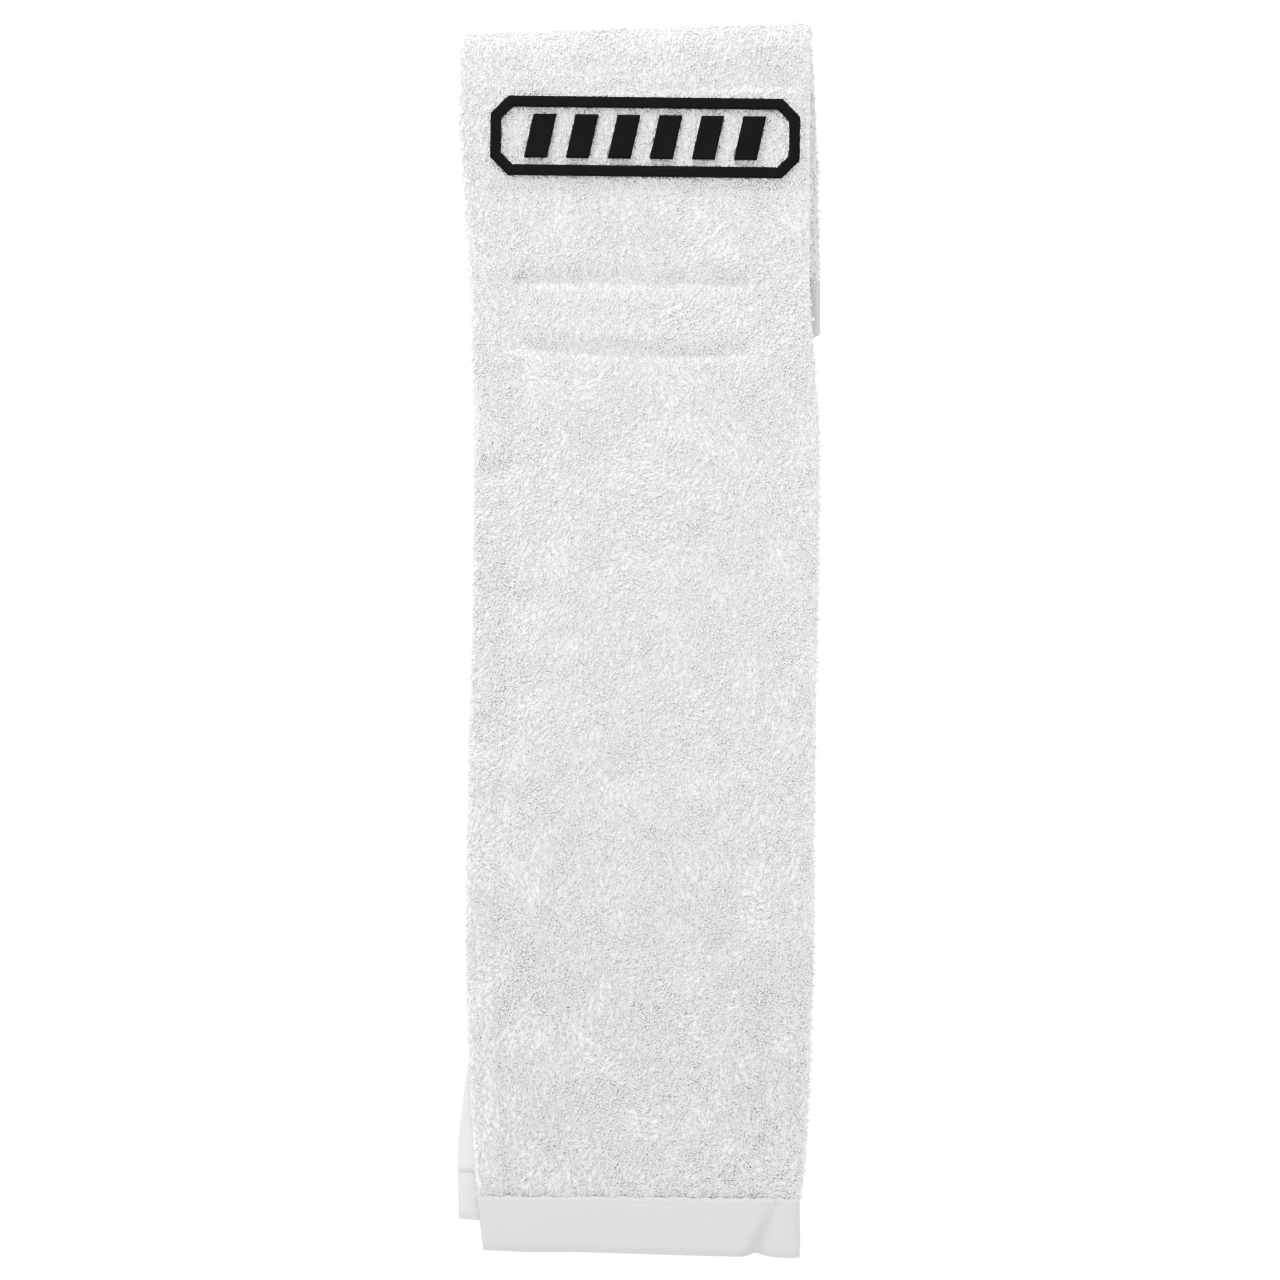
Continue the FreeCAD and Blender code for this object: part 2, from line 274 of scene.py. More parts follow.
def finish(name, build):
    """The named material, made once: build adds the nodes and gives the surface's sockets."""
    if name in bpy.data.materials:
        return bpy.data.materials[name]
    material = bpy.data.materials.new(name)
    material.use_nodes = True
    shader = Shader(material.node_tree)
    surface = shader.node("ShaderNodeBsdfPrincipled", {}, build(shader))
    shader.node("ShaderNodeOutputMaterial", {}, {"Surface": surface.outputs[0]})
    return material


def terry_ground(name, share):
    """The plain woven ground of the cloth. The share lowers its colour; the low share of the leaves behind
    the front one is painted shade.
    """
    def build(shader):
        white = shaded(settings("cloth").ground, share)
        ribs = shader.wave("X", 0.9 * MM, 1.5) * shader.wave("Z", 0.9 * MM, 1.5)
        shade = shader.noise(90, 3) * 0.5 + ribs * 0.5
        return {"Base Color": shader.mix(shade, shaded(white, 0.95), white),
                "Roughness": shade * 0.1 + 0.85, "Specular IOR Level": 0.2,
                "Normal": shader.bump(ribs, 0.1 * MM)}
    return finish(name, build)


def bare_ground():
    # A darker copy of the ground weave: painted shade on the leaves behind the front one.
    return terry_ground("bare_ground_weave", OTHER_SHADE_SHARE)


def pile_yarn():
    """Soft cotton yarn: each loop has its own tone, and painted shade makes its foot darker than its tip."""
    def build(shader):
        cloth = settings("cloth")
        tint_and_shade = shader.value("ShaderNodeAttribute", {"attribute_name": "tint_and_shade"}, output=2)
        return {"Base Color": shader.mix(tint_and_shade, cloth.deep, cloth.white), "Roughness": 0.95,
                "Specular IOR Level": 0.2, "Subsurface Weight": 0.7, "Subsurface Radius": (1, 1, 1),
                "Subsurface Scale": 1.6 * MM}
    return finish("cotton_pile_yarn", build)


def flat_weave(name="flat_woven_hem", share=1.0):
    """The close flat weave of the hems, with faint upright ribs. The share raises its colour; the rear hem's
    higher share is painted light.
    """
    def build(shader):
        white = shaded(settings("cloth").flat, share)
        ribs = shader.wave("X", 1.0 * MM, 2.0) * 0.7 + shader.wave("Z", 0.8 * MM, 2.0) * 0.3
        worn = shader.noise(60, 4, (1, 1, 3))
        shade = ribs * 0.35 + worn * 0.65
        return {"Base Color": shader.mix(shade, shaded(white, 0.94), white),
                "Roughness": worn * 0.15 + 0.8, "Specular IOR Level": 0.2,
                "Normal": shader.bump(ribs + worn, 0.12 * MM)}
    return finish(name, build)


def sewing_thread(name, paint, share):
    """Twisted thread, whose hollows get a share of its colour as painted shade."""
    def build(shader):
        twist = shader.wave("DIAGONAL", 0.5 * MM)
        return {"Base Color": shader.mix(twist, shaded(paint, share), paint),
                "Roughness": twist * 0.2 + 0.5, "Normal": shader.bump(twist, 0.05 * MM)}
    return finish(name, build)


def white_thread():
    return sewing_thread("white_sewing_thread", settings("trim").thread, 0.93)


def grey_thread():
    return sewing_thread("grey_tacking_thread", settings("trim").tack, 0.6)


def tape_weave():
    def build(shader):
        tape = settings("trim").tape
        ribs = shader.wave("X", 0.7 * MM, 1.0) * shader.wave("Z", 0.7 * MM, 1.0)
        return {"Base Color": shader.mix(ribs, shaded(tape, 0.8), tape),
                "Roughness": ribs * 0.2 + 0.45, "Normal": shader.bump(ribs, 0.1 * MM)}
    return finish("nylon_tape_weave", build)


def badge_rubber():
    """Matt moulded silicone rubber, faintly cloudy where it has been handled."""
    def build(shader):
        rubber = settings("trim").rubber
        cloud = shader.noise(140, 4)
        grain = shader.noise(2600, 2)
        worn = [part + 0.004 for part in rubber[:3]] + [1]
        return {"Base Color": shader.mix(cloud, rubber, worn), "Roughness": cloud * 0.2 + 0.5,
                "Specular IOR Level": 0.09,
                "Normal": shader.bump(grain, 0.03 * MM)}
    return finish("matt_badge_rubber", build)


# ---------------------------------------------------------------- shape helpers

def ease(t):
    """0 before t = 0, 1 after t = 1, and smooth between."""
    t = np.clip(t, 0, 1)
    return t * t * (3 - 2 * t)


def hills(x, s, size, seed):
    """Smooth seeded hills and hollows from -1 to 1, about one size apart."""
    cells = 256
    heights = np.random.default_rng(seed).uniform(-1, 1, (cells, cells))
    u, v = np.broadcast_arrays(x / size + cells / 2, s / size + cells / 2)
    column, row = np.floor(u).astype(int), np.floor(v).astype(int)
    a, b = ease(u - column), ease(v - row)

    def at(right, up):
        return heights[(column + right) % cells, (row + up) % cells]
    low = at(0, 0) * (1 - a) + at(1, 0) * a
    high = at(0, 1) * (1 - a) + at(1, 1) * a
    return low * (1 - b) + high * b


def edge_at(points, s):
    """The side edge through these points, as a smooth curve."""
    heights, across = np.array(points, float).T * MM
    slopes = np.gradient(across, heights)
    k = np.clip(np.searchsorted(heights, s) - 1, 0, len(heights) - 2)
    step = heights[k + 1] - heights[k]
    t = np.clip((s - heights[k]) / step, 0, 1)
    return (across[k] * (1 + 2 * t) * (1 - t) ** 2 + slopes[k] * step * t * (1 - t) ** 2
            + across[k + 1] * t * t * (3 - 2 * t) + slopes[k + 1] * step * t * t * (t - 1))


def on_path(x, n, s, side):
    """The point n from the middle plane and at s along the path, on the front (-1) or the flap (1) side."""
    x, n, s = np.broadcast_arrays(x, n, s)
    cloth = settings("cloth")
    angle = np.clip(s, 0, TOP_OF_TURN) / CREASE_N
    height = np.minimum(s, 0) + (n + cloth.top_rise) * np.sin(angle)
    slope = cloth.top_slope * ease(1 + s / (70 * MM))
    return np.stack([x, side * n * np.cos(angle), height + slope * x], axis=-1)


def within(value, low, high, fade):
    """1 from low to high, fading out over a distance past them."""
    return ease((value - low) / fade + 1) * ease((high - value) / fade + 1)


def inside_node(x, s, node):
    """1 over the node's rectangle, fading out just past it."""
    low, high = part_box(node)
    fade = 3 * MM
    return within(x, low.x, high.x, fade) * within(s, low.z, high.z, fade)


def below_turn(s):
    """1 on the hanging cloth and 0 on the turn over the belt."""
    return ease(1 - (s + TURN_FADE) / TURN_FADE)


def side_hem_line(edge, s):
    """Where the raw edge of a turned-in side hem lies behind its leaf."""
    return edge_at(edge, s) + settings("cloth").turned_in


def groove(distance, width_above, width_below, depth):
    """A sewn valley with a sharp floor along a line, and its own width on either side of it."""
    width = np.where(distance > 0, width_above, width_below)
    return -depth * np.exp(-np.abs(distance / width))


def box_lines(x, s):
    """How far a place is above the box's two long lines and right of its two short ones, and whether it is
    beside them: 1 between a line's ends, and fading out past them."""
    (left_t, top_l), (right_t, top_r), (right_b, foot_r), (left_b, foot_l) = np.array(BOX_CORNERS) * MM
    along = np.clip((x - left_t) / (right_t - left_t), 0, 1)
    down = np.clip((s - top_l) / (foot_l - top_l), 0, 1)
    above_top = s - (top_l + (top_r - top_l) * along)
    above_foot = s - (foot_l + (foot_r - foot_l) * along - BOX_SAG * np.sin(math.pi * along))
    right_of_left = x - (left_t + (left_b - left_t) * down)
    right_of_right = x - (right_t + (right_b - right_t) * down)
    fade = 3 * MM
    wide, tall = within(x, left_b, right_t, fade), within(s, foot_l, top_l, fade)
    return above_top, above_foot, right_of_left, right_of_right, wide, tall


def front_relief(x, s):
    """How far the front leaf stands proud of its flat ground."""
    relief = 0.55 * MM * hills(x, s * 0.7, 48 * MM, 11) + 0.3 * MM * hills(x, s, 19 * MM, 12)
    above_top, above_foot, from_left, from_right, wide, tall = box_lines(x, s)
    for above in (above_top, above_foot):
        puffed = 0.9 * MM * np.exp(-((above - 8 * MM) / (5 * MM)) ** 2)
        relief = relief + wide * (groove(above, *LONG_VALLEY) + puffed)
    relief = relief + tall * groove(from_left, *LEFT_VALLEY)
    relief = relief + tall * groove(from_right, *RIGHT_VALLEY)
    seam_depth = (1.4 + 0.5 * hills(x, 0 * s, 3.2 * MM, 13)) * MM
    relief = relief - seam_depth * np.exp(-((s - FRONT_FOOT) / (2.6 * MM)) ** 2)
    relief = relief - DENT_DEPTH * np.exp(-((x - DENT_X) / DENT_HALF) ** 2 - ((s - DENT_S) / DENT_RISE) ** 2)
    badge = inside_node(x, s, "badge_frame")
    relief = relief * (1 - badge) + 0.8 * MM * badge
    from_hem_line = x - side_hem_line(FRONT_LEFT, s)
    relief = relief + groove(from_hem_line, *SIDE_HEM_VALLEY) * ease((-s - 130 * MM) / (30 * MM))
    return np.maximum(relief, -DEEPEST) * below_turn(s)


def rear_relief(x, s):
    return 0.3 * MM * hills(x, s * 0.7, 48 * MM, 21) * below_turn(s)


def flap_relief(x, s):
    relief = 0.45 * MM * hills(x, s, 36 * MM, 31) + 0.25 * MM * hills(x, s, 17 * MM, 32)
    low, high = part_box("hook_tape_stitch")
    relief = relief + within(x, low.x, high.x, 3 * MM) * groove(s - high.z, *FLAP_VALLEY)
    return relief * below_turn(s)


def leaf_grid(heights, left, right, ground_n, side, relief, puff=0.5 * MM):
    """One leaf of cloth as rows of points, from the raw edge of its turned-in side hem, round its free side
    edge, across its face, and round the lengthwise fold to the crease."""
    cloth = settings("cloth")
    s = heights[:, None]
    left_x, right_x = edge_at(left, heights)[:, None], edge_at(right, heights)[:, None]
    inward = math.copysign(1, CREASE_N - ground_n)
    turn = 0.75 * cloth.thickness
    roll = 6.0 * MM
    hem = left_x + turn + cloth.turned_in * np.linspace(1, 0, HEM_COLUMNS, endpoint=False)
    swing = np.linspace(-math.pi / 2, math.pi / 2, TURN_COLUMNS)
    edge = left_x + turn - turn * np.cos(swing)
    main = left_x + turn + (right_x - roll - left_x - turn) * np.linspace(0, 1, MAIN_COLUMNS + 1)[1:]
    bend = np.linspace(0, math.pi / 2, ROLL_COLUMNS + 1)[1:]
    fold = right_x - roll + roll * np.sin(bend)
    x = np.concatenate([hem, edge, main, fold], axis=1)
    under = np.concatenate([np.full(HEM_COLUMNS, 2 * turn), turn * (1 - np.sin(swing)),
                            np.zeros(MAIN_COLUMNS + ROLL_COLUMNS)])[None, :]
    swell = puff * ease(1 - (right_x - x) / (14 * MM)) + puff * 0.4 * ease(1 - (x - left_x) / (6 * MM))
    n = ground_n - inward * (relief(x, s) + swell) + inward * under
    closing = np.concatenate([np.zeros(x.shape[1] - ROLL_COLUMNS), 1 - np.cos(bend)])[None, :]
    n = n + (CREASE_N - n) * closing
    return on_path(x, n, s + 0 * x, side)


def front_grid():
    heights = np.linspace(FRONT_FOOT - 1.0 * MM, TOP_OF_TURN, 214)
    return leaf_grid(heights, FRONT_LEFT, FRONT_RIGHT, OUTER_N, -1, front_relief)


def rear_grid(foot, top, rows):
    return leaf_grid(np.linspace(foot, top, rows), REAR_LEFT, FRONT_RIGHT, INNER_N, -1, rear_relief)


def flap_grid(ground_n, relief):
    heights = np.linspace(FLAP_FOOT - 1.5 * MM, TOP_OF_TURN, 48)
    return leaf_grid(heights, FLAP_LEFT, FLAP_RIGHT, ground_n, 1, relief)


def slope_foot(points, foot):
    """Raises the left end of the rear leaf's foot, which hangs askew, and fades out above it."""
    rise = 11 * MM * np.clip((65 * MM - points[..., 0]) / (136 * MM), 0, 1)
    points[..., 2] += rise * ease(1 - (points[..., 2] - foot) / (60 * MM))
    return points


def normals_of(grid, outward):
    """Unit normals of a grid. outward is 1 where they face the front, and -1 where they face the rear."""
    across, up = np.gradient(grid, axis=1), np.gradient(grid, axis=0)
    normal = outward * np.cross(across, up)
    return normal / np.linalg.norm(normal, axis=-1, keepdims=True)


def sample(grid, row, column):
    """Values between a grid's points."""
    row = np.clip(row, 0, grid.shape[0] - 1.001)
    column = np.clip(column, 0, grid.shape[1] - 1.001)
    i, j = row.astype(int), column.astype(int)
    a, b = (row - i)[:, None], (column - j)[:, None]
    return ((grid[i, j] * (1 - b) + grid[i, j + 1] * b) * (1 - a)
            + (grid[i + 1, j] * (1 - b) + grid[i + 1, j + 1] * b) * a)


# ---------------------------------------------------------------- mesh helpers

def new_piece(name, mesh, material, smooth=True):
    made = bpy.data.objects.new(name, mesh)
    bpy.context.scene.collection.objects.link(made)
    mesh.materials.append(material)
    mesh.polygons.foreach_set("use_smooth", np.full(len(mesh.polygons), smooth))
    return made


def mesh_from(name, points, corners, totals):
    """A mesh from flat arrays: points, every face's corners in turn, and each face's number of corners."""
    mesh = bpy.data.meshes.new(name)
    mesh.vertices.add(len(points))
    mesh.vertices.foreach_set("co", np.ascontiguousarray(points, np.float32).ravel())
    mesh.loops.add(len(corners))
    mesh.loops.foreach_set("vertex_index", corners.astype(np.int32))
    mesh.polygons.add(len(totals))
    starts = np.concatenate([[0], np.cumsum(totals)[:-1]])
    mesh.polygons.foreach_set("loop_start", starts.astype(np.int32))
    mesh.update(calc_edges=True)
    mesh.validate()
    return mesh


def grid_mesh(name, grid, outward, round_rows=False):
    """A mesh of four-sided faces on a grid. With round_rows the last row joins the first one."""
    rows, columns = grid.shape[:2]
    number = np.arange(rows * columns).reshape(rows, columns)
    upper = np.roll(number, -1, axis=0) if round_rows else number[1:]
    lower = number if round_rows else number[:-1]
    faces = np.stack([lower[:, :-1], lower[:, 1:], upper[:, 1:], upper[:, :-1]], axis=-1).reshape(-1, 4)
    if outward < 0:
        faces = faces[:, ::-1]
    corners, totals = faces.ravel(), np.full(len(faces), 4)
    if round_rows:
        ends = [number[::-1, 0], number[:, -1]] if outward > 0 else [number[:, 0], number[::-1, -1]]
        corners = np.concatenate([corners, *ends])
        totals = np.concatenate([totals, [rows, rows]])
    return mesh_from(name, grid.reshape(-1, 3), corners, totals)


def only(obj):
    """Selects this object alone, for the operators that act on what is selected."""
    bpy.ops.object.select_all(action="DESELECT")
    obj.select_set(True)
    bpy.context.view_layer.objects.active = obj


def apply_modifier(obj, kind, **values):
    modifier = obj.modifiers.new(kind.title(), kind)
    for name, value in values.items():
        setattr(modifier, name, value)
    only(obj)
    bpy.ops.object.modifier_apply(modifier=modifier.name)


def cloth_piece(name, grid, outward, material):
    """A leaf of woven ground with its thickness."""
    piece = new_piece(name, grid_mesh(name, grid, outward), material)
    apply_modifier(piece, "SOLIDIFY", thickness=settings("cloth").thickness, offset=0.0)
    return piece


def as_pattern(obj):
    """The object's points and faces, for copies of it. The object itself is removed."""
    points = np.array([vertex.co[:] for vertex in obj.data.vertices])
    faces = [list(face.vertices) for face in obj.data.polygons]
    bpy.data.objects.remove(obj)
    return points, faces


def loop_pattern():
    """One uncut pile loop: a thin yarn that rises from one foot, turns over and comes down to the other."""
    pile = settings("pile")
    foot = pile.loop_width / 2
    bpy.ops.object.select_all(action="DESELECT")
    bpy.ops.mesh.primitive_circle_add(vertices=3, radius=pile.yarn / 2, fill_type="NGON",
                                      location=(foot, 0, 0))
    loop = bpy.context.object
    bpy.ops.object.transform_apply(location=True)
    bpy.ops.object.mode_set(mode="EDIT")
    bpy.ops.mesh.select_all(action="SELECT")
    bpy.ops.mesh.spin(steps=3, angle=math.pi, center=(0, 0, 0), axis=(0, 1, 0))
    bpy.ops.mesh.select_all(action="SELECT")
    bpy.ops.mesh.remove_doubles(threshold=0.02 * MM)
    bpy.ops.mesh.normals_make_consistent(inside=False)
    bpy.ops.object.mode_set(mode="OBJECT")
    for vertex in loop.data.vertices:
        across, up = vertex.co.x, vertex.co.z
        turned = math.atan2(max(up, 0.0), across)
        vertex.co.z += (pile.loop_length - foot) * math.sin(turned)
    return as_pattern(loop)


def copies(name, pattern, places, axes, scales, tint_and_shade, material):
    """Copies of one small shape in a single mesh. axes are each copy's three directions, and scales stretch
    it along them. Each copy gets a shade of its own, which carries any painted shade, and painted shade
    lowers it towards the shape's foot."""
    points, faces = pattern
    local = points[None, :, :] * scales[:, None, :]
    placed = places[:, None, :] + np.einsum("kpi,kij->kpj", local, axes)
    corners = np.concatenate(faces)
    totals = np.tile([len(face) for face in faces], len(places))
    offsets = np.arange(len(places))[:, None] * len(points)
    mesh = mesh_from(name, placed.reshape(-1, 3), (corners[None, :] + offsets).ravel(), totals)
    height = points[:, 2] / max(points[:, 2].max(), 1e-9)
    # Painted shade: each copy's colour is lowered towards its foot.
    shade = tint_and_shade[:, None] * (0.68 + 0.32 * ease(height))[None, :]
    attribute = mesh.attributes.new("tint_and_shade", "FLOAT", "POINT")
    attribute.data.foreach_set("value", shade.astype(np.float32).ravel())
    return new_piece(name, mesh, material)


# ---------------------------------------------------------------- pile

def sow(grid, outward, pitch, row_pitch, seed):
    """Places for pile loops over a leaf, in staggered rows that are never quite regular: their points,
    their normals, and the directions across and up the cloth."""
    random = np.random.default_rng(seed)
    normals = normals_of(grid, outward)
    middle = grid.shape[1] // 2
    climb = np.concatenate([[0], np.cumsum(np.linalg.norm(np.diff(grid[:, middle], axis=0), axis=-1))])
    rows, columns = [], []
    for k, height in enumerate(np.arange(0.3 * row_pitch, climb[-1], row_pitch)):
        row = np.interp(height, climb, np.arange(len(climb)))
        near = grid[int(row), FIRST_PILE_COLUMN:]
        run = np.concatenate([[0], np.cumsum(np.linalg.norm(np.diff(near, axis=0), axis=-1))])
        at = np.arange(0.25 * pitch + 0.5 * pitch * (k % 2), run[-1], pitch)
        at = at + random.uniform(-0.35, 0.35, len(at)) * pitch
        jitter = random.uniform(-0.35, 0.35, len(at)) * row_pitch / (climb[-1] / (len(climb) - 1))
        columns.append(FIRST_PILE_COLUMN + np.interp(at, run, np.arange(len(run))))
        rows.append(np.clip(row + jitter, 0, grid.shape[0] - 1.001))
    row, column = np.concatenate(rows), np.concatenate(columns)
    place = sample(grid, row, column)
    normal = sample(normals, row, column)
    normal /= np.linalg.norm(normal, axis=-1, keepdims=True)
    up = sample(np.gradient(grid, axis=0), row, column)
    up -= normal * np.sum(up * normal, axis=-1, keepdims=True)
    up /= np.linalg.norm(up, axis=-1, keepdims=True)
    return place, normal, np.cross(up, normal), up


def lay_of(x, z, seed, combed):
    """The angle of the pile's lay from straight down, swirling in patches, and straight where combed is 1."""
    swirl = math.radians(35) + math.radians(75) * hills(x, z, 21 * MM, seed) \
        + math.radians(45) * hills(x, z, 7 * MM, seed + 1)
    return swirl * (1 - combed)


def even_shade(x, s):
    return 1.0


def front_painted_shade(x, s):
    """Painted shade on the pile: darker on the matted side hem in soft blotches, and lighter near the top and
    darker towards the foot, as the light falls from above.
    """
    hem_line = side_hem_line(FRONT_LEFT, s)
    # Painted shade on the side hem, darker in soft blotches.
    blotch = 0.75 + 0.25 * hills(2 * x, s, 16 * MM, 43)
    hem = 1 - 0.85 * blotch * ease((hem_line - x) / (3 * MM)) * ease((-s - 140 * MM) / (60 * MM))
    # Painted light and shade: lighter near the top, darker towards the foot.
    return hem * (1.08 - 0.8 * ease((-s - 210 * MM) / (220 * MM)))


def numbered_bands(edges):
    """Bands of pile between heights, as (name, lowest, highest)."""
    return [(f"band_{k + 1}", low, high) for k, (low, high) in enumerate(zip(edges, edges[1:]))]


def two_bands(split):
    return ("lower", -1.0, split), ("upper", split, 1.0)


def pile_pieces(name, grid, outward, seed, bands, height_of, combed_of, pitch, row_pitch,
                shade_of=even_shade):
    """The pile of one leaf, one piece for each band."""
    pile = settings("pile")
    pattern = loop_pattern()
    place, normal, across, up = sow(grid, outward, pitch, row_pitch, seed)
    random = np.random.default_rng(seed + 100)
    count = len(place)
    x, z = place[:, 0], place[:, 2]
    height, combed = height_of(x, z), combed_of(x, z)
    lay = lay_of(x, z, seed + 7, combed) + random.normal(0, math.radians(22), count) * (1 - 0.6 * combed)
    lean = pile.lean + math.radians(16) * hills(x, z, 11 * MM, seed + 3)
    lean = lean + random.normal(0, math.radians(10), count)
    lean = lean + math.radians(24) * (1 - height) + math.radians(10) * ease((z + 4 * MM) / (9 * MM))
    lean = np.clip(lean, math.radians(8), math.radians(80))
    twist = random.uniform(-1, 1, count) * math.radians(75)
    over = -up * np.cos(lay)[:, None] - across * np.sin(lay)[:, None]
    tall = normal * np.cos(lean)[:, None] + over * np.sin(lean)[:, None]
    flat = over * np.cos(lean)[:, None] - normal * np.sin(lean)[:, None]
    beside = np.cross(tall, flat)
    chord = flat * np.cos(twist)[:, None] + beside * np.sin(twist)[:, None]
    depth = np.cross(tall, chord)
    axes = np.stack([chord, depth, tall], axis=1)
    longer = random.uniform(0.75, 1.2, count) * (0.35 + 0.65 * height)
    scales = np.stack([random.uniform(0.8, 1.3, count), random.uniform(0.85, 1.15, count), longer], axis=1)
    tint_and_shade = 0.9 + 0.07 * hills(x, z, 9 * MM, seed + 5) + random.normal(0, 0.03, count)
    tint_and_shade = np.clip(tint_and_shade * shade_of(x, z), 0.2, 1)
    foot = place - normal * 0.25 * MM
    pieces = []
    for band, lowest, highest in bands:
        chosen = (z >= lowest) & (z < highest)
        pieces.append(copies(f"{name}_{band}", pattern, foot[chosen], axes[chosen], scales[chosen],
                             tint_and_shade[chosen], pile_yarn()))
    return pieces


def front_pile_height(x, s):
    """Full pile is 1. It is pressed down along the stitches, on the side hem and at the edges."""
    height = 1 + 0.12 * hills(x, s, 8 * MM, 41)
    above_top, above_foot, from_left, from_right, wide, tall = box_lines(x, s)
    lines = ((above_top, wide), (above_foot, wide), (from_left, 1.4 * tall), (from_right, 0.6 * tall))
    for distance, share in lines:
        height = height * (1 - 0.35 * share * np.exp(-((distance + 0.6 * MM) / (1.2 * MM)) ** 2))
    inside_hem = ease((side_hem_line(FRONT_LEFT, s) - x) / (3 * MM))
    height = height * (1 - 0.2 * inside_hem * ease((-s - 160 * MM) / (30 * MM)))
    height = height * (1 - 0.35 * ease((FRONT_FOOT + 4 * MM - s) / (3 * MM)))
    edge = np.minimum(x - edge_at(FRONT_LEFT, s), edge_at(FRONT_RIGHT, s) - x)
    height = height * (1 - 0.4 * ease(1 - edge / (2 * MM)))
    return np.clip(height, 0.1, 1.3)


def front_combed(x, s):
    """1 where the pile hangs straight down: near the top and just below the box's long lines."""
    above_top, above_foot, _, _, wide, _ = box_lines(x, s)
    combed = np.maximum(0.8 * ease((s + 30 * MM) / (20 * MM)), 0.8 * inside_node(x, s, "badge_frame"))
    for above in (above_top, above_foot):
        combed = np.maximum(combed, 0.85 * wide * (above < 0) * ease(1 + above / (12 * MM)))
    return combed


def pressed_by(tape):
    """The height of the pile of a leaf that is pressed down beneath a tape."""
    return lambda x, s: 1 - 0.3 * inside_node(x, s, tape)


def rear_lower_pile_height(x, s):
    """Short on the side hem, so that none of it stands out past the free edge."""
    return 1 - 0.75 * ease(1 - (x - edge_at(REAR_LEFT, s)) / (4 * MM))


def flap_pile_height(x, s):
    """Pressed down along the upper line of the hook tape's stitches."""
    low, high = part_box("hook_tape_stitch")
    wide = within(x, low.x, high.x, 2 * MM)
    return 1 - 0.6 * wide * np.exp(-((s - high.z) / (1.5 * MM)) ** 2)


def combed_at_turn(x, s):
    """0 over most of the leaf, and combed down on the turn over the belt."""
    return 0.7 * ease((s + 20 * MM) / (20 * MM))


# ---------------------------------------------------------------- hems, threads and tapes

def band_grid(x, top, foot, face_n, back_n, bulge, side, shift):
    """A hem folded to a flat tube, as a closed ring of rows round its front face, its foot and its back.
    shift moves the points, given their weight, which is 0 at the top and 1 at the foot."""
    foot_rows = 5
    depth = top - foot
    t = np.array([0, 0.06, 0.2, 0.4, 0.6, 0.78, 0.86, 0.9, 0.94, 0.97, 1])[:, None]
    tuck = np.clip(t / 0.14 - 6.14, 0, 1) ** 2   # over the last seventh of the front face
    tucked = (face_n - back_n) * 0.45
    half = (face_n - back_n - tucked) / 2
    middle = back_n + half
    radius = np.abs(half) + 0 * x
    front_s = top - (depth - radius) * t
    front_n = face_n + bulge * np.sin(math.pi * t) - tucked * tuck + 0 * front_s
    turn = np.linspace(0, math.pi, foot_rows + 2)[1:-1][:, None]
    foot_s = foot + radius - radius * np.sin(turn)
    foot_n = middle + half * np.cos(turn)
    back_s = (top - (depth - radius) * t)[::-1]
    back_n_rows = back_n + 0 * back_s
    s = np.concatenate([front_s, foot_s + 0 * x, back_s])
    n = np.concatenate([front_n, foot_n + 0 * x, back_n_rows])
    weight = np.concatenate([t, np.ones((foot_rows, 1)), t[::-1]])
    x_rows, s, n = shift(x + 0 * s, s, n, weight)
    return np.stack([x_rows, side * n, s], axis=-1)


def rear_hem_push(x, s):
    """How far the front leaf's sewn foot, and the buckle in its hem, push the rear hem back."""
    seam = 1.2 * MM * np.exp(-((s - FRONT_FOOT) / (5 * MM)) ** 2)
    buckle = 2.4 * MM * ease((FRONT_FOOT - s) / (8 * MM)) * ease((x - 38 * MM) / (8 * MM))
    return (seam + buckle) * ease((x + 66 * MM) / (4 * MM))


def hem_band(name, grid, outward, node, material=None):
    piece = new_piece(name, grid_mesh(name, grid, outward, round_rows=True), material or flat_weave())
    only(piece)
    bpy.ops.object.mode_set(mode="EDIT")
    bpy.ops.mesh.select_all(action="SELECT")
    bpy.ops.mesh.normals_make_consistent(inside=False)
    bpy.ops.object.mode_set(mode="OBJECT")
    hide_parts(node)
    return piece


def stitch_pattern():
    """One stitch: a short thread with rounded ends, laid along Z."""
    trim = settings("trim")
    bpy.ops.object.select_all(action="DESELECT")
    bpy.ops.mesh.primitive_cylinder_add(vertices=6, radius=trim.thread_width / 2, depth=trim.stitch * 0.55)
    stitch = bpy.context.object
    bpy.ops.object.mode_set(mode="EDIT")
    bpy.ops.mesh.select_mode(type="FACE")
    bpy.ops.mesh.select_all(action="DESELECT")
    bpy.ops.object.mode_set(mode="OBJECT")
    for face in stitch.data.polygons:
        face.select = abs(face.normal.z) > 0.9
    bpy.ops.object.mode_set(mode="EDIT")
    bpy.ops.mesh.inset(thickness=0.0, depth=trim.thread_width * 0.45, use_individual=True)
    bpy.ops.transform.resize(value=(0.45, 0.45, 1))
    bpy.ops.object.mode_set(mode="OBJECT")
    return as_pattern(stitch)


